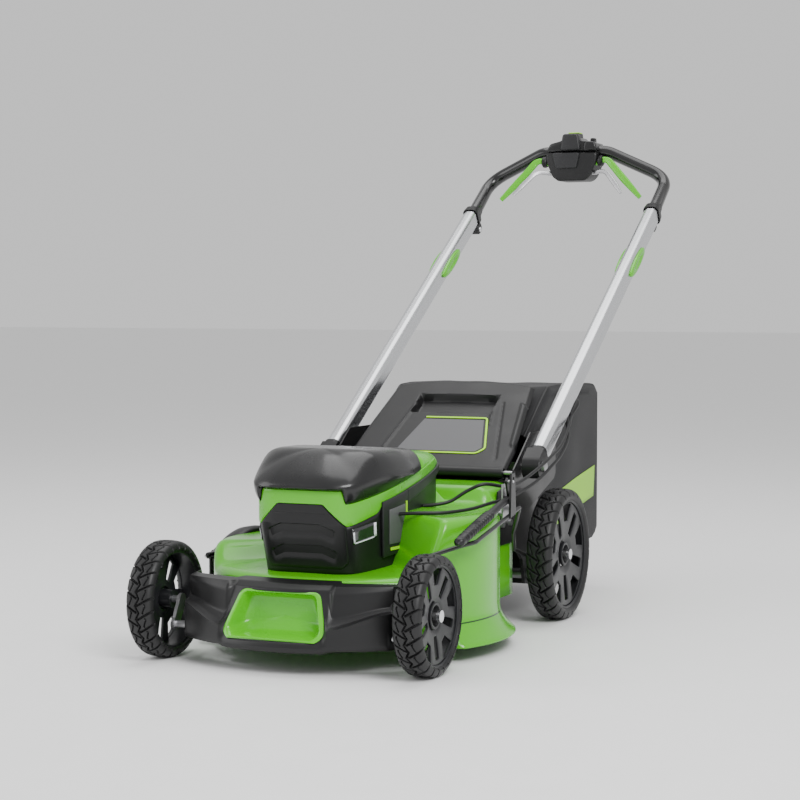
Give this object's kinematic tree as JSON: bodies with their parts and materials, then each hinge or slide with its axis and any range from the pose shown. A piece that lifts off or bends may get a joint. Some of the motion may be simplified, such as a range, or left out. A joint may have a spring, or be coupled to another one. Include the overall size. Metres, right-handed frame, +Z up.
{
  "type": "push lawn mower",
  "caption": "Battery push mower: steel deck, hood with battery lid, four spoked wheels on height-adjustable crank axles, telescoping fold-down handle and rear bag.",
  "frame": {"origin": "on the ground, in the centre plane, midway along the mower's length", "axes": "+Z up, -Y to the mower's front, +X to the operator's left; the handle rises towards +Y"},
  "size_m": [0.574, 1.638, 1.008],
  "materials": {
    "green_paint": "satin",
    "green_plastic": "gloss",
    "black_plastic": "satin",
    "dark_plastic": "satin",
    "tyre_rubber": "matte",
    "soft_rubber": "matte",
    "steel": "satin",
    "chrome_nut": "polished",
    "aluminium": "polished",
    "black_paint": "gloss",
    "lens": "clear",
    "bag_cloth": "matte",
    "copper": "satin",
    "pack_plastic": "satin"
  },
  "bodies": {
    "chassis": {"deck_shell": "green_paint", "front_bumper": "black_plastic", "bumper_insert": "green_plastic", "rear_chute": "black_plastic", "hinge_rods": "steel", "handle_brackets": "black_paint", "axle_supports": "steel", "fasteners": "steel", "hood_base": "black_plastic", "grille_panel": "dark_plastic", "hood_trim": "green_plastic", "side_panels": "dark_plastic", "headlight_lenses": "lens", "battery_tray": "dark_plastic", "battery_pack": "pack_plastic", "controller": "aluminium", "motor_stator": "steel", "height_quadrant": "steel", "control_cables": "soft_rubber"},
    "cutting_spindle": {"motor_rotor": "copper", "blade_hub": "steel", "blade": "steel", "blade_bolt": "steel"},
    "front_axle_body": {"front_axle": "steel", "front_nuts": "chrome_nut"},
    "rear_axle_body": {"rear_axle": "steel", "rear_nuts": "chrome_nut", "drive_unit": "dark_plastic"},
    "drive_line": {"drive_shaft": "steel"},
    "front_left_wheel": {"front_left_tyre": "tyre_rubber", "front_left_rim": "dark_plastic"},
    "front_right_wheel": {"front_right_tyre": "tyre_rubber", "front_right_rim": "dark_plastic"},
    "rear_left_wheel": {"rear_left_tyre": "tyre_rubber", "rear_left_rim": "dark_plastic", "left_ring_gear": "dark_plastic"},
    "rear_right_wheel": {"rear_right_tyre": "tyre_rubber", "rear_right_rim": "dark_plastic", "right_ring_gear": "dark_plastic"},
    "adjuster": {"height_lever": "black_plastic"},
    "adjuster_rod": {"link_rod": "black_paint"},
    "handle_lower": {"handle_tubes": "aluminium", "handle_feet": "black_plastic", "handle_collars": "black_plastic", "cable_grommet": "soft_rubber"},
    "handle_upper": {"upper_bar": "black_paint", "console_base": "black_plastic", "console_cover": "black_plastic"},
    "left_lock": {"left_lock_button": "green_plastic"},
    "right_lock": {"right_lock_button": "green_plastic"},
    "bail_lever": {"bail": "green_plastic"},
    "self_drive_lever": {"drive_lever": "aluminium"},
    "start_key": {"start_button": "green_plastic"},
    "speed_key": {"speed_slider": "black_plastic"},
    "lid": {"battery_lid": "black_plastic"},
    "rear_flap": {"rear_door": "black_plastic"},
    "bag": {"bag_frame": "steel", "bag_body": "bag_cloth"},
    "side_flap": {"side_door": "black_plastic"},
    "trailing_flap": {"trailing_shield": "soft_rubber"}
  },
  "joints": [
    {"name": "rear_axle_pivot", "type": "hinge", "parent": "chassis", "child": "rear_axle_body", "pos_m": [0, -0.073, 0.08775], "axis": [-1, 0, 0], "range_deg": [0, 88.5]},
    {"name": "front_axle_pivot", "type": "hinge", "parent": "chassis", "child": "front_axle_body", "pos_m": [0, -0.739, 0.06235], "axis": [-1, 0, 0], "range_deg": [0, 88.5]},
    {"name": "height_lever_pivot", "type": "hinge", "parent": "chassis", "child": "adjuster", "pos_m": [0.262, -0.365, 0.264], "axis": [-1, 0, 0], "range_deg": [0, 60]},
    {"name": "link_rod_slide", "type": "slide", "parent": "chassis", "child": "adjuster_rod", "axis": [0, 1, 0], "range_m": [0, 0.0365]},
    {"name": "front_left_wheel_spin", "type": "hinge", "parent": "front_axle_body", "child": "front_left_wheel", "pos_m": [0.2465, -0.717, 0.1016], "axis": [1, 0, 0], "continuous": true},
    {"name": "front_right_wheel_spin", "type": "hinge", "parent": "front_axle_body", "child": "front_right_wheel", "pos_m": [-0.2465, -0.717, 0.1016], "axis": [1, 0, 0], "continuous": true},
    {"name": "rear_left_wheel_spin", "type": "hinge", "parent": "rear_axle_body", "child": "rear_left_wheel", "pos_m": [0.2465, -0.051, 0.127], "axis": [1, 0, 0], "continuous": true},
    {"name": "rear_right_wheel_spin", "type": "hinge", "parent": "rear_axle_body", "child": "rear_right_wheel", "pos_m": [-0.2465, -0.051, 0.127], "axis": [1, 0, 0], "continuous": true},
    {"name": "drive_shaft_spin", "type": "hinge", "parent": "rear_axle_body", "child": "drive_line", "pos_m": [0, -0.073, 0.08775], "axis": [1, 0, 0], "continuous": true},
    {"name": "blade_spin", "type": "hinge", "parent": "chassis", "child": "cutting_spindle", "pos_m": [0, -0.455, 0.05], "axis": [0, 0, 1], "continuous": true},
    {"name": "handle_fold", "type": "hinge", "parent": "chassis", "child": "handle_lower", "pos_m": [0, -0.117, 0.3005], "axis": [1, 0, 0], "range_deg": [0, 140], "deforming": ["control_cables"]},
    {"name": "handle_extend", "type": "slide", "parent": "handle_lower", "child": "handle_upper", "axis": [0, 0.8425, 0.5388], "range_m": [0, 0.15]},
    {"name": "left_lock_press", "type": "slide", "parent": "handle_lower", "child": "left_lock", "axis": [-1, 0, 0], "range_m": [0, 0.003], "stiffness_N_per_m": 400, "springref_m": -0.002},
    {"name": "right_lock_press", "type": "slide", "parent": "handle_lower", "child": "right_lock", "axis": [1, 0, 0], "range_m": [0, 0.003], "stiffness_N_per_m": 400, "springref_m": -0.002},
    {"name": "bail_squeeze", "type": "hinge", "parent": "handle_upper", "child": "bail_lever", "pos_m": [0, 0.767, 0.934], "axis": [1, 0, 0], "range_deg": [0, 25], "stiffness_Nm_per_rad": 0.6, "springref_deg": -34.38},
    {"name": "drive_lever_squeeze", "type": "hinge", "parent": "handle_upper", "child": "self_drive_lever", "pos_m": [0, 0.767, 0.912], "axis": [1, 0, 0], "range_deg": [0, 25], "stiffness_Nm_per_rad": 0.6, "springref_deg": -34.38},
    {"name": "start_button_press", "type": "slide", "parent": "handle_upper", "child": "start_key", "axis": [0, 0, -1], "range_m": [0, 0.004], "stiffness_N_per_m": 300, "springref_m": -0.003},
    {"name": "speed_slider_move", "type": "slide", "parent": "handle_upper", "child": "speed_key", "axis": [0, 1, 0], "range_m": [-0.003, 0.015]},
    {"name": "battery_lid_hinge", "type": "hinge", "parent": "chassis", "child": "lid", "pos_m": [0, -0.3455, 0.3395], "axis": [-1, 0, 0], "range_deg": [0, 75]},
    {"name": "rear_door_hinge", "type": "hinge", "parent": "chassis", "child": "rear_flap", "pos_m": [0, -0.157, 0.29], "axis": [1, 0, 0], "range_deg": [0, 45]},
    {"name": "bag_withdraw", "type": "slide", "parent": "chassis", "child": "bag", "axis": [0, 1, 0], "range_m": [0, 0.25]},
    {"name": "side_door_hinge", "type": "hinge", "parent": "chassis", "child": "side_flap", "pos_m": [-0.27, -0.442, 0.152], "axis": [0, 1, 0], "range_deg": [0, 70], "stiffness_Nm_per_rad": 0.15, "springref_deg": -20.05},
    {"name": "trailing_shield_swing", "type": "hinge", "parent": "chassis", "child": "trailing_flap", "pos_m": [0, -0.027, 0.132], "axis": [1, 0, 0], "range_deg": [0, 50]}
  ],
  "couplings": [
    {"joint": "front_axle_pivot", "follows": "rear_axle_pivot", "ratio": 1},
    {"joint": "height_lever_pivot", "follows": "rear_axle_pivot", "ratio": 0.6779},
    {"joint": "link_rod_slide", "follows": "rear_axle_pivot", "m_per_rad": 0.0235},
    {"joint": "rear_right_wheel_spin", "follows": "rear_left_wheel_spin", "ratio": 1},
    {"joint": "drive_shaft_spin", "follows": "rear_left_wheel_spin", "ratio": 6}
  ]
}
